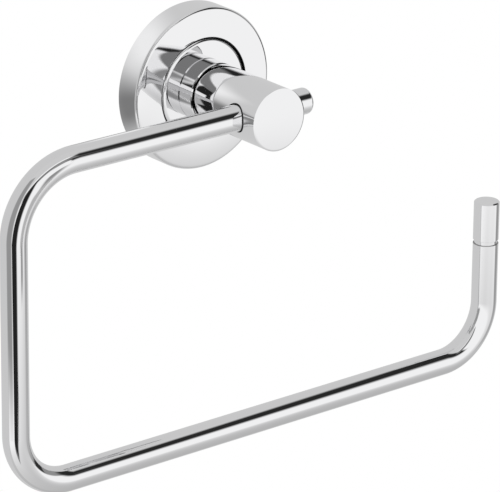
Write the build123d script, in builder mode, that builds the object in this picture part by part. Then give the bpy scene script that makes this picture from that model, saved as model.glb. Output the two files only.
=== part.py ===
"""Toilet roll holder: an open ring of bent round bar that swings in a post on a round wall rosette.

Millimetres. The origin is the middle of the rosette's back face, on the wall. The wall is the XZ plane,
the post points along -Y into the room, +X is to the right for someone facing the wall, and +Z is up.
Distances "from the wall" are measured along -Y.
"""

import os

from build123d import *

os.makedirs("parts", exist_ok=True)

# Rosette: a cast cup with a turned face
rosette_diameter = 50.0
rosette_depth = 9.0
rosette_wall = 2.5
rosette_face_wall = 2.2
rosette_edge_radius = 1.0
rosette_camber_drop = 0.5
ring_groove_radius = 15.8
ring_groove_width = 0.3
ring_groove_depth = 1.5
ring_groove_shoulder = 1.4

# Wall bracket: a turned plate inside the rosette
bracket_clearance = 0.25
bracket_front_gap = 0.8
bracket_hole_clearance = 0.8
bracket_edge_groove_depth = 1.5
wall_screw_spacing = 25.0
wall_screw_hole_diameter = 4.5
wall_screw_sink_diameter = 8.4
wall_screw_sink_angle = 90.0

# Post: turned, with a shadow groove near the rosette and a bore for the bar
post_diameter = 19.0
post_beyond_bar = 9.2
post_end_bevel_width = 0.6
post_end_bevel_depth = 0.25
post_foot_chamfer = 0.3
shadow_groove_from_rosette = 6.3
shadow_groove_width = 0.8
shadow_groove_depth = 0.7
shadow_groove_chamfer = 0.3
bore_chamfer = 0.3

# Key on the post's foot that keeps it from turning in the rosette
key_diameter = 11.0
key_across_flats = 8.5
key_clearance = 0.1
key_end_gap = 0.3

# Screw and washer that hold the post from behind
post_screw_diameter = 6.0
post_screw_length = 12.0
post_screw_head_diameter = 10.5
post_screw_head_height = 3.3
post_screw_head_chamfer = 0.8
post_screw_socket = 4.0
post_screw_socket_depth = 2.0
post_screw_hole_run_out = 1.5
post_washer_diameter = 13.0
post_washer_thickness = 1.2
post_washer_clearance = 0.2

# Grub screws in the rosette's rim and under the post
grub_diameter = 4.0
grub_socket = 2.0
grub_socket_depth = 1.4
grub_recess = 0.4
grub_point_gap = 0.15
grub_dog_diameter = 2.5
grub_dog_length = 1.0
thread_clearance = 0.05

# Bar: one round bar with three bends, in a plane parallel to the wall
bar_diameter = 8.0
bar_from_wall = 35.3
ring_left = 88.7
ring_right = 91.0
ring_drop = 97.8
upper_bend_radius = 21.0
lower_bend_radius = 18.3
hook_bend_radius = 17.0
hook_height = 49.8
bar_bore_clearance = 0.1
retaining_groove_depth = 0.6
retaining_groove_side_gap = 0.25

# Turned ends of the bar
tip_cap_length = 12.5
tip_cap_chamfer = 0.35
tip_joint_width = 1.3
tip_joint_depth = 0.4
end_plug_reach = 8.3
end_plug_edge_radius = 1.2
end_plug_seat_inside_post = 1.5
spigot_length = 6.0
spigot_diameter = 5.0
spigot_clearance = 0.02
spigot_end_gap = 0.5

# Radii and places that follow from the sizes above
rosette_radius = rosette_diameter / 2
rosette_inner_radius = rosette_radius - rosette_wall
cavity_depth = rosette_depth - rosette_face_wall
camber_start_radius = ring_groove_radius + ring_groove_width / 2
rosette_rim_depth = rosette_depth - rosette_camber_drop
bracket_radius = rosette_inner_radius - bracket_clearance
bracket_thickness = cavity_depth - bracket_front_gap
bracket_hole_radius = post_washer_diameter / 2 + bracket_hole_clearance
rim_screw_from_wall = bracket_thickness / 2
post_radius = post_diameter / 2
post_end_from_wall = bar_from_wall + post_beyond_bar
key_end_from_wall = rosette_depth - rosette_face_wall + key_end_gap
post_screw_seat = cavity_depth - post_washer_thickness
post_screw_end = post_screw_seat + post_screw_length
bar_radius = bar_diameter / 2
bar_bore_radius = bar_radius + bar_bore_clearance
spigot_radius = spigot_diameter / 2
bar_end_x = post_radius - end_plug_seat_inside_post
end_plug_x = post_radius + end_plug_reach
tip_z = hook_height - ring_drop
tip_joint_z = tip_z - tip_cap_length
bar_end_z = tip_joint_z - tip_joint_width
grub_radius = grub_diameter / 2
tapped_radius = grub_radius + thread_clearance
bar_groove_radius = bar_radius - retaining_groove_depth
bar_groove_width = grub_dog_diameter + 2 * retaining_groove_side_gap

# A half section of a turned piece on the post's axis: local x is the radius, local y the distance from the wall
turned_section = Plane(origin=(0, 0, 0), x_dir=(1, 0, 0), z_dir=(0, 0, -1))
# The plane that the bar's centre line lies in
bar_plane = Plane.XZ.offset(bar_from_wall)


def key_outline(margin):
    """Draw the key's round outline with two flats, larger by the margin all round."""
    Circle(key_diameter / 2 + margin)
    Rectangle(key_diameter + 4 * margin, key_across_flats + 2 * margin, mode=Mode.INTERSECT)


def hexagon(across_flats):
    """Draw the hexagon of a screw's socket."""
    RegularPolygon(across_flats / 2, 6, major_radius=False)


with BuildPart() as rosette:
    with BuildSketch(turned_section) as rosette_section:
        with BuildLine():
            Polyline((camber_start_radius, rosette_depth), (0, rosette_depth), (0, 0))
            Polyline((0, 0), (rosette_radius, 0), (rosette_radius, rosette_rim_depth))
            TangentArc(
                (camber_start_radius, rosette_depth),
                (rosette_radius, rosette_rim_depth),
                tangent=(1, 0),
            )
        make_face()
        Rectangle(rosette_inner_radius, cavity_depth, align=Align.MIN, mode=Mode.SUBTRACT)
        with Locations((ring_groove_radius, rosette_depth)):
            Rectangle(ring_groove_width, 2 * ring_groove_depth, mode=Mode.SUBTRACT)
        rim_corner = rosette_section.vertices().group_by(Axis.X)[-1].sort_by(Axis.Y)[-1]
        fillet(rim_corner, rosette_edge_radius)
        face_corners = rosette_section.vertices().group_by(Axis.Y)[-1].sort_by(Axis.X)
        fillet(face_corners[1], ring_groove_shoulder)
    revolve(axis=Axis.Y)
    with BuildSketch(Plane.XZ.offset(rosette_depth)):
        key_outline(key_clearance)
    extrude(amount=-rosette_face_wall, mode=Mode.SUBTRACT)
    with BuildSketch(Plane.XY.offset(-rosette_radius)):
        with Locations((0, -rim_screw_from_wall)):
            Circle(tapped_radius)
    extrude(amount=rosette_radius, mode=Mode.SUBTRACT)
rosette.part.label = "rosette"

with BuildPart() as wall_bracket:
    with BuildSketch(turned_section):
        with Locations((bracket_hole_radius, 0)):
            Rectangle(bracket_radius - bracket_hole_radius, bracket_thickness, align=Align.MIN)
        with BuildLine():
            Polyline(
                (bracket_radius, rim_screw_from_wall - bracket_edge_groove_depth),
                (bracket_radius - bracket_edge_groove_depth, rim_screw_from_wall),
                (bracket_radius, rim_screw_from_wall + bracket_edge_groove_depth),
                close=True,
            )
        make_face(mode=Mode.SUBTRACT)
    revolve(axis=Axis.Y)
    with Locations(Plane.XZ.offset(bracket_thickness)):
        with GridLocations(wall_screw_spacing, 0, 2, 1):
            CounterSinkHole(
                wall_screw_hole_diameter / 2,
                wall_screw_sink_diameter / 2,
                counter_sink_angle=wall_screw_sink_angle,
            )
wall_bracket.part.label = "wall_bracket"

# The rim screw's cone point lies in the bracket's edge groove, and its socket faces down
with BuildPart() as rosette_grub_screw:
    point_z = bracket_edge_groove_depth - bracket_radius - grub_point_gap
    socket_z = grub_recess - rosette_radius
    with BuildSketch(Plane.XZ.offset(rim_screw_from_wall)):
        with BuildLine():
            Polyline(
                (0, point_z),
                (grub_radius, point_z - grub_radius),
                (grub_radius, socket_z),
                (0, socket_z),
                close=True,
            )
        make_face()
    revolve(axis=Axis((0, -rim_screw_from_wall, 0), (0, 0, 1)))
    with BuildSketch(Plane.XY.offset(socket_z)):
        with Locations((0, -rim_screw_from_wall)):
            hexagon(grub_socket)
    extrude(amount=grub_socket_depth, mode=Mode.SUBTRACT)
rosette_grub_screw.part.label = "rosette_grub_screw"

with BuildPart() as post:
    with BuildSketch(turned_section):
        with Locations((0, rosette_depth)):
            Rectangle(post_radius, post_end_from_wall - rosette_depth, align=Align.MIN)
        with Locations((post_radius, rosette_depth + shadow_groove_from_rosette)):
            Rectangle(2 * shadow_groove_depth, shadow_groove_width, mode=Mode.SUBTRACT)
    revolve(axis=Axis.Y)
    outer_rims = post.edges().filter_by(GeomType.CIRCLE).group_by(SortBy.RADIUS)[-1].sort_by(Axis.Y)
    end_face = post.faces().sort_by(Axis.Y)[0]
    chamfer(outer_rims[0], post_end_bevel_width, post_end_bevel_depth, reference=end_face)
    chamfer(outer_rims[1:3], shadow_groove_chamfer)
    chamfer(outer_rims[3], post_foot_chamfer)
    with BuildSketch(Plane.XZ.offset(rosette_depth)):
        key_outline(0)
    extrude(amount=key_end_from_wall - rosette_depth)
    with BuildSketch(Plane.XZ.offset(key_end_from_wall)):
        Circle(post_screw_diameter / 2 + thread_clearance)
    extrude(amount=post_screw_end + post_screw_hole_run_out - key_end_from_wall, mode=Mode.SUBTRACT)
    with BuildSketch(Plane.YZ):
        with Locations((-bar_from_wall, 0)):
            Circle(bar_bore_radius)
    extrude(amount=post_radius, both=True, mode=Mode.SUBTRACT)
    bore_mouths = post.edges(Select.LAST).filter_by(GeomType.LINE, reverse=True)
    chamfer(bore_mouths, bore_chamfer)
    with BuildSketch(Plane.XY.offset(-post_radius)):
        with Locations((0, -bar_from_wall)):
            Circle(tapped_radius)
    extrude(amount=post_radius, mode=Mode.SUBTRACT)
post.part.label = "post"

with BuildPart() as post_washer:
    with BuildSketch(Plane.XZ.offset(post_screw_seat)):
        Circle(post_washer_diameter / 2)
        Circle(post_screw_diameter / 2 + post_washer_clearance, mode=Mode.SUBTRACT)
    extrude(amount=post_washer_thickness)
post_washer.part.label = "post_washer"

with BuildPart() as post_screw:
    head_end = post_screw_seat - post_screw_head_height
    with BuildSketch(turned_section):
        with Locations((0, head_end)):
            Rectangle(post_screw_head_diameter / 2, post_screw_head_height, align=Align.MIN)
        with Locations((0, post_screw_seat)):
            Rectangle(post_screw_diameter / 2, post_screw_length, align=Align.MIN)
    revolve(axis=Axis.Y)
    head_rim = post_screw.edges().filter_by(GeomType.CIRCLE).group_by(SortBy.RADIUS)[-1].sort_by(Axis.Y)[-1]
    chamfer(head_rim, post_screw_head_chamfer)
    with BuildSketch(Plane.XZ.offset(head_end)):
        hexagon(post_screw_socket)
    extrude(amount=post_screw_socket_depth, mode=Mode.SUBTRACT)
post_screw.part.label = "post_screw"

# The bar runs from inside the post to the left, down, along the foot to the right and up the hook
with BuildPart() as bar:
    with BuildLine(bar_plane) as centre_line:
        FilletPolyline(
            (bar_end_x, 0),
            (-ring_left, 0),
            (-ring_left, -ring_drop),
            (ring_right, -ring_drop),
            (ring_right, bar_end_z),
            radius=(upper_bend_radius, lower_bend_radius, hook_bend_radius),
        )
    with BuildSketch(Plane.YZ.offset(bar_end_x)):
        with Locations((-bar_from_wall, 0)):
            Circle(bar_radius)
    sweep(path=centre_line.line)
    with BuildSketch(Plane.YZ.offset(bar_end_x)):
        with Locations((-bar_from_wall, 0)):
            Circle(spigot_radius + spigot_clearance)
    extrude(amount=-spigot_length - spigot_end_gap, mode=Mode.SUBTRACT)
    with BuildSketch(Plane.XY.offset(bar_end_z)):
        with Locations((ring_right, -bar_from_wall)):
            Circle(spigot_radius + spigot_clearance)
    extrude(amount=-spigot_length - spigot_end_gap, mode=Mode.SUBTRACT)
    with BuildSketch(Plane.YZ.offset(-bar_groove_width / 2)):
        with Locations((-bar_from_wall, 0)):
            Circle(2 * bar_radius)
            Circle(bar_groove_radius, mode=Mode.SUBTRACT)
    extrude(amount=bar_groove_width, mode=Mode.SUBTRACT)
bar.part.label = "bar"

# The tip's undercut stands on the bar's end and shows as the joint line
with BuildPart() as bar_tip_cap:
    with BuildSketch(bar_plane):
        with Locations((ring_right, tip_joint_z)):
            Rectangle(bar_radius, tip_cap_length, align=Align.MIN)
        with Locations((ring_right, bar_end_z)):
            Rectangle(bar_radius - tip_joint_depth, tip_joint_width, align=Align.MIN)
        with Locations((ring_right, bar_end_z - spigot_length)):
            Rectangle(spigot_radius, spigot_length, align=Align.MIN)
    revolve(axis=Axis((ring_right, -bar_from_wall, 0), (0, 0, 1)))
    top_rim = bar_tip_cap.edges().filter_by(GeomType.CIRCLE).sort_by(Axis.Z)[-1]
    chamfer(top_rim, tip_cap_chamfer)
bar_tip_cap.part.label = "bar_tip_cap"

# The end plug meets the bar inside the post, where the joint is out of sight
with BuildPart() as bar_end_plug:
    with BuildSketch(bar_plane):
        with Locations((bar_end_x, 0)):
            Rectangle(end_plug_x - bar_end_x, bar_radius, align=Align.MIN)
            Rectangle(spigot_length, spigot_radius, align=(Align.MAX, Align.MIN))
    revolve(axis=Axis((0, -bar_from_wall, 0), (1, 0, 0)))
    end_rim = bar_end_plug.edges().filter_by(GeomType.CIRCLE).sort_by(Axis.X)[-1]
    fillet(end_rim, end_plug_edge_radius)
bar_end_plug.part.label = "bar_end_plug"

# The dog point stands in the bar's groove, clear of it all round, so that the bar turns but can't slide
with BuildPart() as bar_grub_screw:
    dog_z = -bar_groove_radius - grub_point_gap
    shoulder_z = dog_z - grub_dog_length
    foot_z = grub_recess - post_radius
    with BuildSketch(bar_plane):
        with Locations((0, foot_z)):
            Rectangle(grub_radius, shoulder_z - foot_z, align=Align.MIN)
            Rectangle(grub_dog_diameter / 2, dog_z - foot_z, align=Align.MIN)
    revolve(axis=Axis((0, -bar_from_wall, 0), (0, 0, 1)))
    with BuildSketch(Plane.XY.offset(foot_z)):
        with Locations((0, -bar_from_wall)):
            hexagon(grub_socket)
    extrude(amount=grub_socket_depth, mode=Mode.SUBTRACT)
bar_grub_screw.part.label = "bar_grub_screw"

export_step(rosette.part, "parts/rosette.step")
export_step(wall_bracket.part, "parts/wall_bracket.step")
export_step(rosette_grub_screw.part, "parts/rosette_grub_screw.step")
export_step(post.part, "parts/post.step")
export_step(post_washer.part, "parts/post_washer.step")
export_step(post_screw.part, "parts/post_screw.step")
export_step(bar.part, "parts/bar.step")
export_step(bar_tip_cap.part, "parts/bar_tip_cap.step")
export_step(bar_end_plug.part, "parts/bar_end_plug.step")
export_step(bar_grub_screw.part, "parts/bar_grub_screw.step")
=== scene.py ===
import math

import bmesh
import bpy
from bpy.props import FloatProperty, FloatVectorProperty, PointerProperty
from bpy.types import NodeSocket, Operator, Panel, PropertyGroup
from mathutils import Matrix, Vector


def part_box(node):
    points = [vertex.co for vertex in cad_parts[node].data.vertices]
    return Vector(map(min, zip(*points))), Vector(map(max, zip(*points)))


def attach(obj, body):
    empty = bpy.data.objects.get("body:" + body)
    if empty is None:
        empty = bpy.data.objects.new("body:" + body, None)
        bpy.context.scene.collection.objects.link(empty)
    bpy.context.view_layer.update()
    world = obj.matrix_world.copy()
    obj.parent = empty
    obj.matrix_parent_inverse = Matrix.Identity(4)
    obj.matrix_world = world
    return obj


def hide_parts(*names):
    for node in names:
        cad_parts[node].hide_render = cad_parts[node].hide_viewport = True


bl_info = {
    "name": "Toilet roll holder",
    "version": (1, 0, 0),
    "blender": (4, 5, 0),
    "location": "3D View > Sidebar > Holder",
    "description": "Builds a chromed toilet roll holder with a swinging open ring, and its white studio",
    "category": "Object",
}

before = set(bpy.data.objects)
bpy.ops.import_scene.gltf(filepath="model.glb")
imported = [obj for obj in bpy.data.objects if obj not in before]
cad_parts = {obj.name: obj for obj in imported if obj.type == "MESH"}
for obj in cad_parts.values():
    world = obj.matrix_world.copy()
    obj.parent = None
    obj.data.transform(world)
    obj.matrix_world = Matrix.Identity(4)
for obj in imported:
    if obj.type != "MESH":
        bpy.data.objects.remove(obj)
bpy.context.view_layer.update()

MM = 0.001
# Half sections of the turned pieces are (radius, height) pairs; heights run along these directions
INTO_ROOM = Vector((0, -1, 0))
TO_THE_RIGHT = Vector((1, 0, 0))
UP = Vector((0, 0, 1))

# Creases sharper than this stay hard edges
CREASE_ANGLE = math.radians(28)
# Vertices closer than this are one; cuts leave theirs a little further apart
MERGE = 1e-8
MERGE_AFTER_CUTS = 1e-7
# A solid's box is measured on its facets, so a rounder piece may reach this far outside it
FACET_PLAY = 0.05 * MM
# A corner that is this close to a surface lies on it
TOUCH = 0.02 * MM
# Cutting tools stand this far out of the piece that they cut
SPARE = 1 * MM

# Sizes that two or more pieces share
BORE_PLAY = 0.1 * MM
BORE_CHAMFER = 0.3 * MM
KEY_RADIUS = 5.5 * MM
KEY_FLAT = 4.25 * MM
KEY_PLAY = 0.1 * MM
GRUB_RADIUS = 2.0 * MM
TAPPED_RADIUS = 2.05 * MM
RIM_SCREW_FROM_WALL = 3.0 * MM

ROSETTE_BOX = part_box("rosette")
POST_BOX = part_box("post")
BAR_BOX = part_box("bar")
TIP_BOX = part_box("bar_tip_cap")
PLUG_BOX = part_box("bar_end_plug")
BAR_RADIUS = (BAR_BOX[1].y - BAR_BOX[0].y) / 2


def linear(hex_colour):
    """Turn an sRGB hex colour into linear red, green and blue."""
    channels = [int(hex_colour[i:i + 2], 16) / 255 for i in (0, 2, 4)]
    return tuple(c / 12.92 if c <= 0.04045 else ((c + 0.055) / 1.055) ** 2.4 for c in channels)


def length(name, description, default):
    """A length property in metres."""
    return FloatProperty(name=name, description=description, default=default, unit="LENGTH", precision=5)


def angle(name, description, degrees):
    """An angle property, given here in degrees."""
    return FloatProperty(name=name, description=description, default=math.radians(degrees), subtype="ANGLE")


def colour(name, description, hex_colour):
    """A colour property, given here as sRGB hex."""
    return FloatVectorProperty(
        name=name, description=description, default=linear(hex_colour), subtype="COLOR", size=3,
        min=0, max=1,
    )


class HolderSizes(PropertyGroup):
    """Sizes of the holder's pieces."""

    rosette_radius: length("Rosette radius", "Radius of the round wall cover", ROSETTE_BOX[1].x)
    rosette_depth: length("Rosette depth", "How far the rosette stands off the wall", -ROSETTE_BOX[0].y)
    rosette_edge: length("Rosette edge", "Radius of the rosette's front edge", 1.0 * MM)
    rosette_camber: length("Rosette camber", "Fall of the face from the ring groove to its edge", 0.5 * MM)
    ring_groove_radius: length("Ring groove radius", "Radius of the turned groove in the face", 15.8 * MM)
    ring_groove_width: length("Ring groove width", "Width of the turned groove in the face", 0.3 * MM)
    ring_groove_depth: length("Ring groove depth", "Depth of the turned groove in the face", 1.5 * MM)
    ring_groove_shoulder: length("Ring groove shoulder", "Rounding of the groove's inner edge", 1.4 * MM)
    post_radius: length("Post radius", "Radius of the turned post", POST_BOX[1].x)
    post_end: length("Post end", "Distance of the post's end from the wall", -POST_BOX[0].y)
    post_bevel_width: length("Post bevel width", "Width of the bevel round the post's end face", 0.6 * MM)
    post_bevel_depth: length("Post bevel depth", "Depth of the bevel along the post's side", 0.25 * MM)
    shadow_groove: length("Shadow groove", "Distance of the groove's middle from the wall", 15.3 * MM)
    bar_radius: length("Bar radius", "Radius of the bent bar", BAR_RADIUS)
    bar_from_wall: length(
        "Bar from wall", "Distance of the bar's centre line from the wall", -BAR_BOX[0].y - BAR_RADIUS
    )
    ring_left: length(
        "Ring left", "Centre line of the ring's left arm, left of the post", -BAR_BOX[0].x - BAR_RADIUS
    )
    ring_right: length(
        "Ring right", "Centre line of the ring's right leg, right of the post", BAR_BOX[1].x - BAR_RADIUS
    )
    ring_drop: length(
        "Ring drop", "Drop of the ring's lower run below the post", -BAR_BOX[0].z - BAR_RADIUS
    )
    upper_bend: length("Upper bend", "Radius of the bend at the upper left", 21.0 * MM)
    lower_bend: length("Lower bend", "Radius of the bend at the lower left", 18.3 * MM)
    hook_bend: length("Hook bend", "Radius of the bend at the lower right", 17.0 * MM)
    tip_height: length("Tip height", "Height of the hook's tip above the post's axis", TIP_BOX[1].z)
    plug_end: length("Plug end", "Distance of the bar's rounded end from the post's axis", PLUG_BOX[1].x)


class HolderFinish(PropertyGroup):
    """Colours and gloss of the holder's metals, and the painted shade in its grooves, bore and joint."""

    chrome: colour("Chrome", "Colour of the polished chrome plate", "F0F0F1")
    chrome_roughness: FloatProperty(
        name="Chrome roughness", description="Roughness of the clean chrome plate", default=0.02,
        subtype="FACTOR",
    )
    # The next two colours are painted shade: they darken the faces in the grooves, the cross bore and the
    # tip's joint, where shade falls
    recess_shade: colour("Recess shade", "Colour of the thin plate in grooves and bores", "343434")
    joint_plate: colour("Joint shade", "Colour of the plate on the bar's end in the tip's joint", "8C8C8C")
    zinc: colour("Zinc", "Colour of the zinc-plated steel", "C3C6C9")
    steel: colour("Stainless steel", "Colour of the drawn stainless steel", "BCBBB8")


class HolderStudio(PropertyGroup):
    """Camera and floor of the studio."""

    camera_azimuth: angle("Camera azimuth", "Turn of the camera round the holder, 0 in front", -38.896)
    camera_elevation: angle("Camera elevation", "Height of the camera above the horizon", 20.883)
    camera_roll: angle("Camera roll", "Turn of the camera about its own axis", 0.542)
    camera_distance: length("Camera distance", "Distance of the camera from its target", 1263.262 * MM)
    camera_target: FloatVectorProperty(
        name="Camera target", description="Point that the camera looks at",
        default=(0.025366, 0, -0.058534), subtype="TRANSLATION",
    )
    focal_length: FloatProperty(
        name="Focal length", description="Focal length in millimetres on a 36 mm sensor", default=295.78,
        unit="CAMERA",
    )
    floor_drop: length("Floor drop", "Depth of the floor below the post", 1.5)


def add_node(tree, kind, inputs=None, **settings):
    """Add a node, set its settings, and set or link its inputs."""
    node = tree.nodes.new(kind)
    for name, value in settings.items():
        setattr(node, name, value)
    for name, value in (inputs or {}).items():
        if isinstance(value, NodeSocket):
            tree.links.new(value, node.inputs[name])
        else:
            node.inputs[name].default_value = value
    return node


def new_material(name):
    """A material with an empty node tree and its output node."""
    material = bpy.data.materials.new(name)
    material.use_nodes = True
    material.node_tree.nodes.clear()
    return material, material.node_tree, add_node(material.node_tree, "ShaderNodeOutputMaterial")


def metal(make):
    """The metal that a function makes and names after itself, made only at its first use."""
    found = bpy.data.materials.get(make.__name__)
    if found is None:
        found = make(bpy.context.scene.holder_finish)
    return found


def polished_chrome_plate(finish):
    """Bright chrome plate on polished brass."""
    # To the eye: a clean mirror, a little cool, with faint wiping marks
    material, tree, output = new_material("polished_chrome_plate")
    place = add_node(tree, "ShaderNodeTexCoord").outputs["Object"]
    # Wiping leaves soft smears about 14 mm wide, which only dull the mirror slightly
    smears = add_node(tree, "ShaderNodeTexNoise", {
        "Vector": place, "Scale": 1 / (14 * MM), "Detail": 3.0,
    })
    smeared_roughness = finish.chrome_roughness + 0.03
    gloss = add_node(tree, "ShaderNodeMapRange", {
        "Value": smears.outputs["Fac"], "From Min": 0.35, "From Max": 0.75,
        "To Min": finish.chrome_roughness, "To Max": smeared_roughness,
    })
    shader = add_node(tree, "ShaderNodeBsdfPrincipled", {
        "Base Color": (*finish.chrome, 1), "Metallic": 1.0, "Roughness": gloss.outputs["Result"],
    })
    tree.links.new(shader.outputs["BSDF"], output.inputs["Surface"])
    return material


def recess_shade(name, tint):
    """Chrome plate in grooves, bores and joints: dull because the plating there is thin, and darkened with
    painted shade.
    """
    # To the eye: darker than the open faces, which is painted shade, and dull and uneven
    material, tree, output = new_material(name)
    place = add_node(tree, "ShaderNodeTexCoord").outputs["Object"]
    # Patches of about 0.8 mm where the plate took more or less
    patches = add_node(tree, "ShaderNodeTexNoise", {
        "Vector": place, "Scale": 1 / (0.8 * MM), "Detail": 2.0,
    })
    thicker = 1.8
    tone = add_node(tree, "ShaderNodeMixRGB", {
        "Fac": patches.outputs["Fac"], "Color1": (*tint, 1), "Color2": (*(c * thicker for c in tint), 1),
    })
    gloss = add_node(tree, "ShaderNodeMapRange", {
        "Value": patches.outputs["Fac"], "To Min": 0.55, "To Max": 0.35,
    })
    shader = add_node(tree, "ShaderNodeBsdfPrincipled", {
        "Base Color": tone.outputs["Color"], "Metallic": 1.0, "Roughness": gloss.outputs["Result"],
    })
    tree.links.new(shader.outputs["BSDF"], output.inputs["Surface"])
    return material


def recess_shade_in_grooves(finish):
    """The darkest painted shade, in the narrow grooves and the cross bore."""
    return recess_shade("recess_shade_in_grooves", finish.recess_shade)


def recess_shade_in_joint(finish):
    """A paler painted shade, in the wider joint under the tip."""
    return recess_shade("recess_shade_in_joint", finish.joint_plate)


def satin_zinc_plate(finish):
    """Turned steel with zinc plate."""
    # To the eye: satin, with a fine crystal mottle and a bluish cast
    material, tree, output = new_material("satin_zinc_plate")
    place = add_node(tree, "ShaderNodeTexCoord").outputs["Object"]
    # Zinc crystals of about 1.2 mm, drawn coarser than they are so that they show
    crystals = add_node(tree, "ShaderNodeTexVoronoi", {"Vector": place, "Scale": 1 / (1.2 * MM)})
    darker = 0.74
    tone = add_node(tree, "ShaderNodeMixRGB", {
        "Fac": crystals.outputs["Color"], "Color1": (*finish.zinc, 1),
        "Color2": (*(c * darker for c in finish.zinc), 1),
    })
    gloss = add_node(tree, "ShaderNodeMapRange", {
        "Value": crystals.outputs["Distance"], "To Min": 0.28, "To Max": 0.42,
    })
    shader = add_node(tree, "ShaderNodeBsdfPrincipled", {
        "Base Color": tone.outputs["Color"], "Metallic": 1.0, "Roughness": gloss.outputs["Result"],
    })
    tree.links.new(shader.outputs["BSDF"], output.inputs["Surface"])
    return material


def drawn_stainless_steel(finish):
    """Screw stock of drawn stainless steel."""
    # To the eye: darker than chrome and finely streaked along the screw
    material, tree, output = new_material("drawn_stainless_steel")
    place = add_node(tree, "ShaderNodeTexCoord").outputs["Object"]
    # Drawing streaks of about 0.3 mm, twenty times as long along the upright screw
    drawn = add_node(tree, "ShaderNodeMapping", {"Vector": place, "Scale": (1, 1, 0.05)})
    streaks = add_node(tree, "ShaderNodeTexNoise", {
        "Vector": drawn.outputs["Vector"], "Scale": 1 / (0.3 * MM), "Detail": 2.0,
    })
    gloss = add_node(tree, "ShaderNodeMapRange", {
        "Value": streaks.outputs["Fac"], "To Min": 0.16, "To Max": 0.34,
    })
    shader = add_node(tree, "ShaderNodeBsdfPrincipled", {
        "Base Color": (*finish.steel, 1), "Metallic": 1.0, "Roughness": gloss.outputs["Result"],
    })
    tree.links.new(shader.outputs["BSDF"], output.inputs["Surface"])
    return material


def edges_of(parts):
    """The edges among the parts that a bmesh operator gives back."""
    return [part for part in parts if isinstance(part, bmesh.types.BMEdge)]


def verts_of(parts):
    """The vertices among the parts that a bmesh operator gives back."""
    return [part for part in parts if isinstance(part, bmesh.types.BMVert)]


def turned(section, centre, axis, steps):
    """Spin a half section about an axis. A third number in a point rounds that corner by a radius."""
    shape = bmesh.new()
    outward = TO_THE_RIGHT if abs(axis.x) < 0.5 else UP
    corners = [shape.verts.new(centre + outward * point[0] + axis * point[1]) for point in section]
    for start, end in zip(corners, corners[1:]):
        shape.edges.new((start, end))
    if section[0][0] > 0:
        shape.edges.new((corners[-1], corners[0]))
    for corner, point in zip(corners, section):
        if len(point) > 2:
            bmesh.ops.bevel(
                shape, geom=[corner], offset=point[2], offset_type="OFFSET", segments=12, profile=0.5,
                affect="VERTICES", material=-1,
            )
    bmesh.ops.spin(
        shape, geom=shape.verts[:] + shape.edges[:], cent=centre, axis=axis, angle=math.tau, steps=steps,
        use_merge=True,
    )
    bmesh.ops.remove_doubles(shape, verts=shape.verts[:], dist=MERGE)
    bmesh.ops.recalc_face_normals(shape, faces=shape.faces[:])
    return shape


def prism(outline_radius, centre, axis, depth, sides):
    """A straight prism on a regular outline, from the centre along the axis."""
    shape = bmesh.new()
    place = Matrix.Translation(centre) @ UP.rotation_difference(axis).to_matrix().to_4x4()
    bmesh.ops.create_circle(shape, cap_ends=True, segments=sides, radius=outline_radius, matrix=place)
    grown = bmesh.ops.extrude_face_region(shape, geom=shape.faces[:])
    bmesh.ops.translate(shape, verts=verts_of(grown["geom"]), vec=axis * depth)
    bmesh.ops.recalc_face_normals(shape, faces=shape.faces[:])
    return shape


def hexagon(across_flats):
    """Outline radius of a hexagon socket."""
    return across_flats / math.sqrt(3)


def key_tool(play, start, end):
    """The round key with two flats, with some play round it, between two distances from the wall."""
    shape = prism(KEY_RADIUS + play, INTO_ROOM * start, INTO_ROOM, depth=end - start, sides=96)
    flat = KEY_FLAT + play
    for side in (1, -1):
        cut = bmesh.ops.bisect_plane(
            shape, geom=shape.verts[:] + shape.edges[:] + shape.faces[:], plane_co=(0, 0, side * flat),
            plane_no=(0, 0, side), clear_outer=True,
        )
        bmesh.ops.contextual_create(shape, geom=edges_of(cut["geom_cut"]))
    bmesh.ops.recalc_face_normals(shape, faces=shape.faces[:])
    return shape


def bore_tool(sizes):
    """The cross bore with its chamfered mouths, which follow the post's round side."""
    bore = sizes.bar_radius + BORE_PLAY
    axis_point = Vector((0, -sizes.bar_from_wall, 0))
    turn = Matrix.Rotation(math.pi / 2, 4, "Y")
    shape = bmesh.new()
    bmesh.ops.create_circle(
        shape, segments=160, radius=bore, matrix=Matrix.Translation(axis_point) @ turn
    )
    middle = shape.edges[:]

    def grow(loop, radius, reach):
        """Extrude the loop to a new radius; reach gives each vertex's x from its height."""
        grown = bmesh.ops.extrude_edge_only(shape, edges=loop)["geom"]
        for vert in verts_of(grown):
            side = (vert.co - axis_point) * Vector((0, 1, 1))
            side = side.normalized() * radius
            vert.co = axis_point + side + Vector((reach(side.z), 0, 0))
        return edges_of(grown)

    def surface(z):
        """How far the post's round side lies from its axis plane at a height."""
        return math.sqrt(sizes.post_radius ** 2 - z * z)

    # The chamfers run on past the surface, so that no edge of the tool lies on it
    past = 0.4 * MM
    mouth = bore + BORE_CHAMFER + past
    clear_of_post = sizes.post_radius * 1.2
    for way in (1, -1):
        loop = grow(middle, bore, lambda z: way * (surface(z) - BORE_CHAMFER))
        loop = grow(loop, mouth, lambda z: way * (surface(z) + past))
        loop = grow(loop, mouth, lambda z: way * clear_of_post)
        bmesh.ops.contextual_create(shape, geom=loop)
    bmesh.ops.recalc_face_normals(shape, faces=shape.faces[:])
    return shape


def as_object(shape, name):
    """Put a bmesh into a new object at the origin."""
    mesh = bpy.data.meshes.new(name)
    shape.to_mesh(mesh)
    shape.free()
    made = bpy.data.objects.new(name, mesh)
    bpy.context.scene.collection.objects.link(made)
    return made


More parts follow.
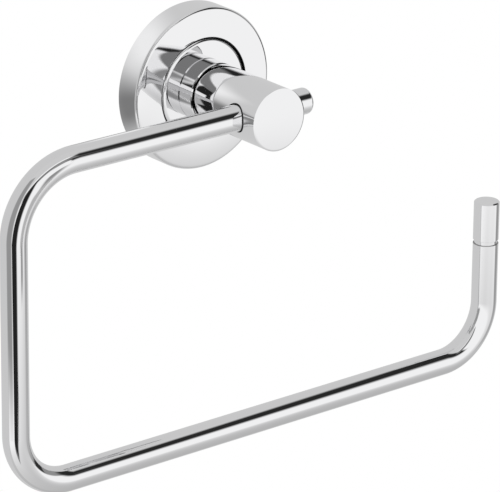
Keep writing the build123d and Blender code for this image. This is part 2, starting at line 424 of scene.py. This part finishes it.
def carve(made, shape, operation="DIFFERENCE"):
    """Cut a tool shape out of a piece, or join it to the piece."""
    tool = as_object(shape, made.name + "_tool")
    step = made.modifiers.new("carve", "BOOLEAN")
    step.object = tool
    step.operation = operation
    step.solver = "EXACT"
    bpy.context.view_layer.update()
    carved = bpy.data.meshes.new_from_object(made.evaluated_get(bpy.context.evaluated_depsgraph_get()))
    if not carved.polygons:
        raise RuntimeError(f"{made.name}: nothing is left after a cut")
    made.modifiers.clear()
    old = made.data
    name = old.name
    made.data = carved
    bpy.data.meshes.remove(old)
    carved.name = name
    tool_mesh = tool.data
    bpy.data.objects.remove(tool)
    bpy.data.meshes.remove(tool_mesh)


def finish_piece(made, material, body, node):
    """Check a piece against its node's box, shade it with hard creases, and let it stand for its node."""
    low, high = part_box(node)
    over = max(max(low[i] - v.co[i], v.co[i] - high[i]) for v in made.data.vertices for i in range(3))
    if over > FACET_PLAY:
        raise RuntimeError(f"{made.name} reaches {over / MM:.3f} mm outside the solid {node}")
    shape = bmesh.new()
    shape.from_mesh(made.data)
    bmesh.ops.remove_doubles(shape, verts=shape.verts[:], dist=MERGE_AFTER_CUTS)
    for face in shape.faces:
        face.smooth = True
    for edge in shape.edges:
        edge.smooth = edge.is_manifold and edge.calc_face_angle(0.0) < CREASE_ANGLE
    shape.to_mesh(made.data)
    shape.free()
    made.data.materials.clear()
    made.data.materials.append(material)
    weights = made.modifiers.new("flat faces stay flat", "WEIGHTED_NORMAL")
    weights.mode = "FACE_AREA"
    weights.weight = 50
    weights.keep_sharp = True
    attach(made, body)
    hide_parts(node)


def dull(made, plate, inside):
    """Give the faces whose corners all lie inside a groove, bore or joint the second material, which paints
    shade there.
    """
    made.data.materials.append(plate)
    corners = made.data.vertices
    for face in made.data.polygons:
        if all(inside(corners[index].co) for index in face.vertices):
            face.material_index = 1


class HOLDER_OT_rosette(Operator):
    """Build the round wall cover with its turned groove"""

    bl_idname = "holder.rosette"
    bl_label = "Rosette"

    def execute(self, context):
        sizes = context.scene.holder_sizes
        radius, depth = sizes.rosette_radius, sizes.rosette_depth
        rim_wall, face_wall, broken_edge = 2.5 * MM, 2.2 * MM, 0.08 * MM
        inner, cavity = radius - rim_wall, depth - face_wall
        groove_in = sizes.ring_groove_radius - sizes.ring_groove_width / 2
        groove_out = sizes.ring_groove_radius + sizes.ring_groove_width / 2
        groove_floor = depth - sizes.ring_groove_depth
        # The camber leaves the face without a kink and falls as the square of the way to the edge
        outermost, apart, points = 0.84, 0.07, 12
        shares = [outermost - apart * point for point in range(points)]
        camber = [
            (groove_out + (radius - groove_out) * share, depth - sizes.rosette_camber * share ** 2)
            for share in shares
        ]
        made = as_object(turned([
            (0, cavity), (inner, cavity), (inner, 0), (radius, 0, broken_edge),
            (radius, depth - sizes.rosette_camber, sizes.rosette_edge), *camber,
            (groove_out, depth, broken_edge), (groove_out, groove_floor), (groove_in, groove_floor),
            (groove_in, depth, sizes.ring_groove_shoulder), (0, depth),
        ], Vector(), INTO_ROOM, steps=384), "rosette_cover")
        carve(made, key_tool(KEY_PLAY, cavity - SPARE, depth + SPARE))
        # The tapped hole for the grub screw in the lower rim
        below_rim = Vector((0, -RIM_SCREW_FROM_WALL, -radius - SPARE))
        carve(made, prism(TAPPED_RADIUS, below_rim, UP, depth=5 * MM, sides=64))
        finish_piece(made, metal(polished_chrome_plate), "wall_fitting", "rosette")

        def in_groove(place):
            """On the floor or the walls of the ring groove, up to its broken edge."""
            across, height = math.hypot(place.x, place.z), -place.y
            in_width = groove_in - TOUCH < across < groove_out + TOUCH
            return in_width and groove_floor - TOUCH < height < depth - broken_edge + TOUCH / 2

        # Painted shade on the floor and walls of the ring groove
        dull(made, metal(recess_shade_in_grooves), in_groove)
        return {"FINISHED"}


class HOLDER_OT_post(Operator):
    """Build the turned post with its shadow groove, cross bore and key"""

    bl_idname = "holder.post"
    bl_label = "Post"

    def execute(self, context):
        sizes = context.scene.holder_sizes
        radius, foot, end = sizes.post_radius, sizes.rosette_depth, sizes.post_end
        groove, half_groove, groove_depth = sizes.shadow_groove, 0.4 * MM, 0.7 * MM
        chamfer, key_end = 0.3 * MM, 7.1 * MM
        made = as_object(turned([
            (0, foot), (radius - chamfer, foot), (radius, foot + chamfer),
            (radius, groove - half_groove - chamfer), (radius - chamfer, groove - half_groove),
            (radius - groove_depth, groove - half_groove), (radius - groove_depth, groove + half_groove),
            (radius - chamfer, groove + half_groove), (radius, groove + half_groove + chamfer),
            (radius, end - sizes.post_bevel_depth), (radius - sizes.post_bevel_width, end), (0, end),
        ], Vector(), INTO_ROOM, steps=512), "post_turned")
        carve(made, key_tool(0, key_end, foot + SPARE), "UNION")
        # The hole for the screw from behind, the cross bore, and the tapped hole under the bar
        screw_hole, hole_start = 3.05 * MM, 6 * MM
        carve(made, prism(screw_hole, INTO_ROOM * hole_start, INTO_ROOM, depth=13.1 * MM, sides=96))
        carve(made, bore_tool(sizes))
        below_post = Vector((0, -sizes.bar_from_wall, -radius - SPARE))
        carve(made, prism(TAPPED_RADIUS, below_post, UP, depth=8 * MM, sides=64))
        finish_piece(made, metal(polished_chrome_plate), "wall_fitting", "post")

        # Just past the outer edge of the bore's chamfers
        bore_mouth = sizes.bar_radius + BORE_PLAY + BORE_CHAMFER + 0.05 * MM

        def in_groove_or_bore(place):
            """In the shadow groove, or on the wall of the cross bore and its chamfers."""
            below_side = math.hypot(place.x, place.z) < radius - chamfer + TOUCH
            in_groove = below_side and abs(-place.y - groove) < half_groove + TOUCH
            from_bar = math.hypot(place.y + sizes.bar_from_wall, place.z)
            return in_groove or from_bar < bore_mouth

        # Painted shade on the faces in the shadow groove and in the cross bore with its chamfers
        dull(made, metal(recess_shade_in_grooves), in_groove_or_bore)
        return {"FINISHED"}


class HOLDER_OT_ring(Operator):
    """Build the bent bar of the open ring with its two turned ends"""

    bl_idname = "holder.ring"
    bl_label = "Open ring"

    def execute(self, context):
        sizes = context.scene.holder_sizes
        chrome = metal(polished_chrome_plate)
        wall, radius = sizes.bar_from_wall, sizes.bar_radius
        left, right, drop = -sizes.ring_left, sizes.ring_right, -sizes.ring_drop
        tip_length, plug_joint = 13.8 * MM, 8.0 * MM
        tip_joint = sizes.tip_height - tip_length
        spigot, spigot_length = 2.5 * MM, 6 * MM
        spigot_hole, spigot_hole_depth = 2.52 * MM, 6.5 * MM

        shape = bmesh.new()
        turn = Matrix.Rotation(math.pi / 2, 4, "Y")
        bmesh.ops.create_circle(
            shape, segments=128, radius=radius, matrix=Matrix.Translation((plug_joint, -wall, 0)) @ turn
        )
        start = shape.edges[:]

        def grow(loop, move, swell=1.0):
            """Extrude the open end of the bar by a move, and scale it about its own middle."""
            grown = bmesh.ops.extrude_edge_only(shape, edges=loop)["geom"]
            verts = verts_of(grown)
            bmesh.ops.translate(shape, verts=verts, vec=move)
            middle = sum((v.co for v in verts), Vector()) / len(verts)
            bmesh.ops.scale(shape, verts=verts, vec=(swell,) * 3, space=Matrix.Translation(-middle))
            return edges_of(grown)

        def bend(loop, centre_x, centre_z):
            """Bend the open end of the bar by a quarter turn, against the clock as seen from the room."""
            verts = list(dict.fromkeys(vert for edge in loop for vert in edge.verts))
            bent = bmesh.ops.spin(
                shape, geom=loop + verts, cent=(centre_x, -wall, centre_z), axis=INTO_ROOM,
                angle=math.pi / 2, steps=48,
            )
            return edges_of(bent["geom_last"])

        def socket(loop, inward):
            """Close an end of the bar with the drilled hole for a spigot."""
            loop = grow(loop, Vector(), spigot_hole / radius)
            loop = grow(loop, inward * spigot_hole_depth)
            bmesh.ops.contextual_create(shape, geom=loop)

        # The groove in the bar takes the point of the grub screw under the post
        half_groove, groove_depth = 1.5 * MM, 0.6 * MM
        groove_scale = (radius - groove_depth) / radius
        loop = grow(start, Vector((half_groove - plug_joint, 0, 0)))
        loop = grow(loop, Vector(), groove_scale)
        loop = grow(loop, Vector((-2 * half_groove, 0, 0)))
        loop = grow(loop, Vector(), 1 / groove_scale)
        loop = grow(loop, Vector((left + sizes.upper_bend + half_groove, 0, 0)))
        loop = bend(loop, left + sizes.upper_bend, -sizes.upper_bend)
        loop = grow(loop, Vector((0, 0, drop + sizes.lower_bend + sizes.upper_bend)))
        loop = bend(loop, left + sizes.lower_bend, drop + sizes.lower_bend)
        loop = grow(loop, Vector((right - sizes.hook_bend - left - sizes.lower_bend, 0, 0)))
        loop = bend(loop, right - sizes.hook_bend, drop + sizes.hook_bend)
        loop = grow(loop, Vector((0, 0, tip_joint - drop - sizes.hook_bend)))
        socket(loop, -UP)
        socket(start, -TO_THE_RIGHT)
        bmesh.ops.remove_doubles(shape, verts=shape.verts[:], dist=MERGE)
        bmesh.ops.recalc_face_normals(shape, faces=shape.faces[:])
        made = as_object(shape, "ring_bar")
        finish_piece(made, chrome, "ring", "bar")

        def in_joint(place):
            """On the bar's end face in the tip's joint."""
            return place.x > right - 2 * radius and abs(place.z - tip_joint) < TOUCH

        # Painted shade on the bar's end face inside the tip's joint
        dull(made, metal(recess_shade_in_joint), in_joint)

        # The tip stands off the bar by a narrow joint of smaller radius
        joint_radius, joint_width = radius - 0.4 * MM, 1.3 * MM
        spigot_end, cap_start = tip_joint - spigot_length, tip_joint + joint_width
        chamfer, broken_edge, tip = 0.35 * MM, 0.06 * MM, sizes.tip_height
        made = as_object(turned([
            (0, spigot_end), (spigot, spigot_end), (spigot, tip_joint), (joint_radius, tip_joint),
            (joint_radius, cap_start), (radius, cap_start, broken_edge), (radius, tip - chamfer),
            (radius - chamfer, tip), (0, tip),
        ], Vector((right, -wall, 0)), UP, steps=160), "ring_tip_cap")
        finish_piece(made, chrome, "ring", "bar_tip_cap")

        spigot_end, rounding = plug_joint - spigot_length, 1.2 * MM
        made = as_object(turned([
            (0, spigot_end), (spigot, spigot_end), (spigot, plug_joint), (radius, plug_joint),
            (radius, sizes.plug_end, rounding), (0, sizes.plug_end),
        ], Vector((0, -wall, 0)), TO_THE_RIGHT, steps=160), "ring_end_plug")
        finish_piece(made, chrome, "ring", "bar_end_plug")
        return {"FINISHED"}


class HOLDER_OT_fixings(Operator):
    """Build the wall bracket, the screws and the washer that hold the holder together"""

    bl_idname = "holder.fixings"
    bl_label = "Fixings"

    def execute(self, context):
        sizes = context.scene.holder_sizes
        zinc, steel = metal(satin_zinc_plate), metal(drawn_stainless_steel)

        # The bracket's edge has a notch for the rim's grub screw, and its middle clears the post's screw
        edge, depth, opening = 22.25 * MM, 6.0 * MM, 7.3 * MM
        middle, notch = RIM_SCREW_FROM_WALL, 1.5 * MM
        made = as_object(turned([
            (opening, 0), (edge, 0), (edge, middle - notch), (edge - notch, middle), (edge, middle + notch),
            (edge, depth), (opening, depth),
        ], Vector(), INTO_ROOM, steps=192), "wall_plate")
        hole, sink, off_middle = 2.25 * MM, 4.2 * MM, 12.5 * MM
        for side in (1, -1):
            carve(made, turned([
                (0, -SPARE), (hole, -SPARE), (hole, depth - sink + hole), (sink + SPARE, depth + SPARE),
                (0, depth + SPARE),
            ], Vector((side * off_middle, 0, 0)), INTO_ROOM, steps=96))
        finish_piece(made, zinc, "wall_fitting", "wall_bracket")

        # The washer lies between the screw's head and the back of the rosette's face
        washer_hole, washer_edge, head_end, face_back = 3.2 * MM, 6.5 * MM, 5.6 * MM, 6.8 * MM
        made = as_object(turned([
            (washer_hole, head_end), (washer_edge, head_end),
            (washer_edge, face_back), (washer_hole, face_back),
        ], Vector(), INTO_ROOM, steps=96), "washer")
        finish_piece(made, zinc, "wall_fitting", "post_washer")

        head, head_start, head_chamfer = 5.25 * MM, 2.3 * MM, 0.8 * MM
        shank, shank_end = 3 * MM, 17.6 * MM
        made = as_object(turned([
            (0, head_start), (head - head_chamfer, head_start), (head, head_start + head_chamfer),
            (head, head_end), (shank, head_end), (shank, shank_end), (0, shank_end),
        ], Vector(), INTO_ROOM, steps=96), "socket_head_screw")
        tool_start, wide_socket = INTO_ROOM * (1 * MM), hexagon(4 * MM)
        carve(made, prism(wide_socket, tool_start, INTO_ROOM, depth=3.3 * MM, sides=6))
        finish_piece(made, zinc, "wall_fitting", "post_screw")

        # One grub screw has a cone in the bracket's notch, the other a dog point in the bar's groove
        cone_tip, cone_foot = -20.9 * MM, -22.9 * MM
        dog, dog_tip, dog_foot = 1.25 * MM, -3.55 * MM, -4.55 * MM
        cone_point = [(0, cone_tip), (GRUB_RADIUS, cone_foot)]
        dog_point = [(0, dog_tip), (dog, dog_tip), (dog, dog_foot), (GRUB_RADIUS, dog_foot)]
        sunk, narrow_socket, socket_depth = 0.4 * MM, hexagon(2 * MM), 1.4 * MM
        for name, node, from_wall, mouth, point in (
            ("rim_grub_screw", "rosette_grub_screw", RIM_SCREW_FROM_WALL, sizes.rosette_radius, cone_point),
            ("bore_grub_screw", "bar_grub_screw", sizes.bar_from_wall, sizes.post_radius, dog_point),
        ):
            foot = -mouth + sunk
            place = Vector((0, -from_wall, 0))
            made = as_object(turned([*point, (GRUB_RADIUS, foot), (0, foot)], place, UP, steps=64), name)
            tool_start = place + UP * (foot - SPARE)
            carve(made, prism(narrow_socket, tool_start, UP, depth=socket_depth + SPARE, sides=6))
            finish_piece(made, steel, "wall_fitting", node)
        return {"FINISHED"}


def light_world(scene):
    """A white world of strength 1, which is both the backdrop and the soft light of the studio."""
    world = bpy.data.worlds.new("white_studio")
    scene.world = world
    world.use_nodes = True
    tree = world.node_tree
    tree.nodes.clear()
    light = add_node(tree, "ShaderNodeBackground", {"Color": (1, 1, 1, 1), "Strength": 1.0})
    add_node(tree, "ShaderNodeOutputWorld", {"Surface": light.outputs["Background"]})


def floor_disc(name, radius, drop):
    """A flat round floor at a drop below the post."""
    shape = bmesh.new()
    bmesh.ops.create_circle(
        shape, cap_ends=True, segments=96, radius=radius, matrix=Matrix.Translation((0, 0, -drop))
    )
    return as_object(shape, name)


def floor_paint():
    """Matt floor paint."""
    # To the eye: so pale that the floor hardly parts from the backdrop
    material, tree, output = new_material("pale_floor_paint")
    shader = add_node(tree, "ShaderNodeBsdfDiffuse", {"Color": (*linear("FCFCFB"), 1)})
    tree.links.new(shader.outputs["BSDF"], output.inputs["Surface"])
    return material


def upright(x, y, azimuth, half_width, low, high):
    """Corners of a card on edge, in millimetres; an azimuth of 0 makes it parallel to the wall."""
    across = Matrix.Rotation(math.radians(azimuth), 3, "Z") @ Vector((half_width, 0, 0))
    foot, head = Vector((x, y, low)), Vector((x, y, high))
    return foot - across, foot + across, head + across, head - across


def leaning(x, y, azimuth, ends):
    """Corners of a card on edge, each a reach along it and a height in millimetres."""
    along = Matrix.Rotation(math.radians(azimuth), 3, "Z") @ Vector((1, 0, 0))
    return tuple(Vector((x, y, height)) + along * reach for reach, height in ends)


def level(left, right, front, back, height):
    """Corners of a card that lies flat, in millimetres."""
    corners = (left, front), (right, front), (right, back), (left, back)
    return tuple(Vector((x, y, height)) for x, y in corners)


def card(name, grey, corners, soft_sides, soft_ends):
    """A flat studio card with feathered edges, which only the metal's reflections see."""
    shape = bmesh.new()
    face = shape.faces.new([shape.verts.new(corner * MM) for corner in corners])
    places = shape.loops.layers.uv.new("card")
    for loop, place in zip(face.loops, ((0, 0), (1, 0), (1, 1), (0, 1))):
        loop[places].uv = place
    # The grid keeps the feathering even where the card is narrower at one end
    bmesh.ops.subdivide_edges(shape, edges=shape.edges[:], cuts=7, use_grid_fill=True)
    foot_left, foot_right, head_right, head_left = corners
    width = ((foot_right - foot_left).length + (head_right - head_left).length) / 2
    height = (head_left - foot_left).length

    made = as_object(shape, name)
    material, tree, output = new_material(name)
    place = add_node(tree, "ShaderNodeSeparateXYZ", {
        "Vector": add_node(tree, "ShaderNodeTexCoord").outputs["UV"],
    })
    cover = 1.0
    for across, soft in (("X", soft_sides / width), ("Y", soft_ends / height)):
        reach = add_node(tree, "ShaderNodeMath", {0: place.outputs[across], 1: 0.5}, operation="PINGPONG")
        fade = add_node(tree, "ShaderNodeMapRange", {
            "Value": reach.outputs[0], "From Min": 0.0, "From Max": soft,
        }, interpolation_type="SMOOTHSTEP")
        both = add_node(tree, "ShaderNodeMath", {0: fade.outputs["Result"], 1: cover}, operation="MULTIPLY")
        cover = both.outputs[0]
    clear = add_node(tree, "ShaderNodeBsdfTransparent")
    board = add_node(tree, "ShaderNodeEmission", {"Color": (grey, grey, grey, 1)})
    shown = add_node(tree, "ShaderNodeMixShader", {0: cover, 1: clear.outputs[0], 2: board.outputs[0]})
    tree.links.new(shown.outputs[0], output.inputs["Surface"])
    made.data.materials.append(material)
    made.visible_camera = False
    made.visible_diffuse = False
    made.visible_shadow = False
    made.visible_transmission = False


def hang_cards():
    """Hang the studio's cards. Each comment says what its card gives the eye in the chrome."""
    # The black line along both runs of the ring, on the bar's rounded end and over the post's rear part
    card("black_board", 0.022, upright(
        x=520, y=-497, azimuth=66.7, half_width=650, low=170, high=885,
    ), soft_sides=215, soft_ends=215)
    # The black arcs at the right of the groove and of the rosette, and a spot in the lower left bend
    card("black_side_board", 0.03, upright(
        x=900, y=-140, azimuth=80, half_width=470, low=-330, high=0,
    ), soft_sides=140, soft_ends=90)
    # The grey into which those arcs and that spot fade
    card("grey_upper_side_board", 0.3, upright(
        x=910, y=-140, azimuth=80, half_width=470, low=-80, high=600,
    ), soft_sides=140, soft_ends=60)
    # The grey line down the right side of the ring's left arm and of its right leg
    card("grey_side_board", 0.33, upright(
        x=905, y=-140, azimuth=80, half_width=470, low=-700, high=-230,
    ), soft_sides=140, soft_ends=100)
    # The black band down the upper left bend and the left arm, and the black streaks on the post
    card("black_strip", 0.018, leaning(
        x=-160, y=-154, azimuth=25.3, ends=((-205, -122), (72, -122), (66, 95), (-75, 140)),
    ), soft_sides=24, soft_ends=24)
    # The lower part of that band
    card("black_strip_foot", 0.018, leaning(
        x=-160, y=-156, azimuth=25.3, ends=((-100, -248), (8, -248), (74, -98), (-250, -98)),
    ), soft_sides=24, soft_ends=14)
    # The bright streak along the post's rear part, and a pale one in the upper left bend
    card("white_flag", 1.0, upright(
        x=-71, y=-70, azimuth=0, half_width=19, low=1, high=20,
    ), soft_sides=3, soft_ends=3)
    # The grey on both sides of that streak at the post's foot, and its image in the rosette's face
    card("dark_flag", 0.3, upright(
        x=-58, y=-85, azimuth=0, half_width=16, low=-62, high=56,
    ), soft_sides=12, soft_ends=12)
    # A grey streak lower down on the post's rear part
    card("grey_flag", 0.5, upright(
        x=-69, y=-70, azimuth=0, half_width=13, low=-37, high=-5,
    ), soft_sides=6, soft_ends=6)
    # The soft grey beside the black band on the left arm, and a thin line at the rosette's left edge
    card("grey_strip", 0.32, upright(
        x=-281, y=-84, azimuth=-65, half_width=100, low=-174, high=411,
    ), soft_sides=46, soft_ends=46)
    # The broad grey patch over the post's rear part and its image in the rosette's face
    card("grey_front_strip", 0.22, upright(
        x=-156, y=-543, azimuth=0, half_width=569, low=330, high=560,
    ), soft_sides=130, soft_ends=40)
    # The pale grey along the top of the ring's two runs
    card("grey_ceiling", 0.662, level(
        left=-3000, right=3000, front=-1180, back=2000, height=1500,
    ), soft_sides=300, soft_ends=50)
    # The soft grey along the underside of the ring and at the foot of the rosette's face
    card("grey_table", 0.5, level(
        left=-300, right=443, front=-556, back=1000, height=-188,
    ), soft_sides=300, soft_ends=560)
    # The wall's grey on the rosette's rim, the post's front part and the tip, and along the ring's edges
    card("grey_wall", 0.646, upright(
        x=0, y=2, azimuth=0, half_width=1500, low=-1500, high=1500,
    ), soft_sides=100, soft_ends=100)
    # A painted patch of light on the wall at the rosette's upper left, which gives the pale part of the
    # rosette's rim there
    card("painted_wall_light", 0.95, upright(
        x=-22, y=1.2, azimuth=0, half_width=19, low=4, high=38,
    ), soft_sides=16, soft_ends=16)
    # A painted shadow on the wall beside the rosette, which gives the dark part of the rosette's rim at the
    # left, and the shade on the post behind the bar
    card("painted_wall_shadow", 0.22, upright(
        x=-33, y=1.0, azimuth=0, half_width=19, low=-21, high=12,
    ), soft_sides=14, soft_ends=14)


class HOLDER_OT_stage(Operator):
    """Build the camera, the studio light, the pale floor and the cards"""

    bl_idname = "holder.stage"
    bl_label = "Stage"

    def execute(self, context):
        scene, studio = context.scene, context.scene.holder_studio
        scene.view_settings.view_transform = "Standard"

        azimuth, elevation, roll = studio.camera_azimuth, studio.camera_elevation, studio.camera_roll
        back = Vector((
            math.sin(azimuth) * math.cos(elevation),
            -math.cos(azimuth) * math.cos(elevation),
            math.sin(elevation),
        ))
        right = Vector((math.cos(azimuth), math.sin(azimuth), 0))
        above = back.cross(right)
        lens = bpy.data.cameras.new("camera")
        lens.lens = studio.focal_length
        camera = bpy.data.objects.new("camera", lens)
        columns = Matrix((right, above, back)).transposed().to_4x4()
        place = Matrix.Translation(Vector(studio.camera_target) + back * studio.camera_distance)
        camera.matrix_world = place @ columns @ Matrix.Rotation(roll, 4, "Z")
        scene.collection.objects.link(camera)
        scene.camera = camera

        light_world(scene)
        floor = floor_disc("floor", radius=1.0, drop=studio.floor_drop)
        floor.data.materials.append(floor_paint())
        hang_cards()
        return {"FINISHED"}


class HOLDER_PT_build(Panel):
    """Lists the holder's pieces and their values in the sidebar"""

    bl_idname = "HOLDER_PT_build"
    bl_label = "Toilet roll holder"
    bl_space_type = "VIEW_3D"
    bl_region_type = "UI"
    bl_category = "Holder"

    def draw(self, context):
        """Draw a button for each piece and a field for each value."""
        for operator in PIECES:
            self.layout.operator(operator.bl_idname)
        for name, kind in GROUPS.items():
            for value in kind.__annotations__:
                self.layout.prop(getattr(context.scene, name), value)


GROUPS = {"holder_sizes": HolderSizes, "holder_finish": HolderFinish, "holder_studio": HolderStudio}
PIECES = (HOLDER_OT_rosette, HOLDER_OT_post, HOLDER_OT_ring, HOLDER_OT_fixings, HOLDER_OT_stage)


def register():
    """Register the classes and give each scene its groups of values."""
    for kind in (*GROUPS.values(), *PIECES, HOLDER_PT_build):
        bpy.utils.register_class(kind)
    for name, group in GROUPS.items():
        setattr(bpy.types.Scene, name, PointerProperty(type=group))


def unregister():
    """Take the groups of values and the classes away again."""
    for name in GROUPS:
        delattr(bpy.types.Scene, name)
    for kind in reversed((*GROUPS.values(), *PIECES, HOLDER_PT_build)):
        bpy.utils.unregister_class(kind)


def main():
    """Build the holder and its stage."""
    register()
    bpy.ops.holder.rosette()
    bpy.ops.holder.post()
    bpy.ops.holder.ring()
    bpy.ops.holder.fixings()
    bpy.ops.holder.stage()


if __name__ == "__main__":
    main()
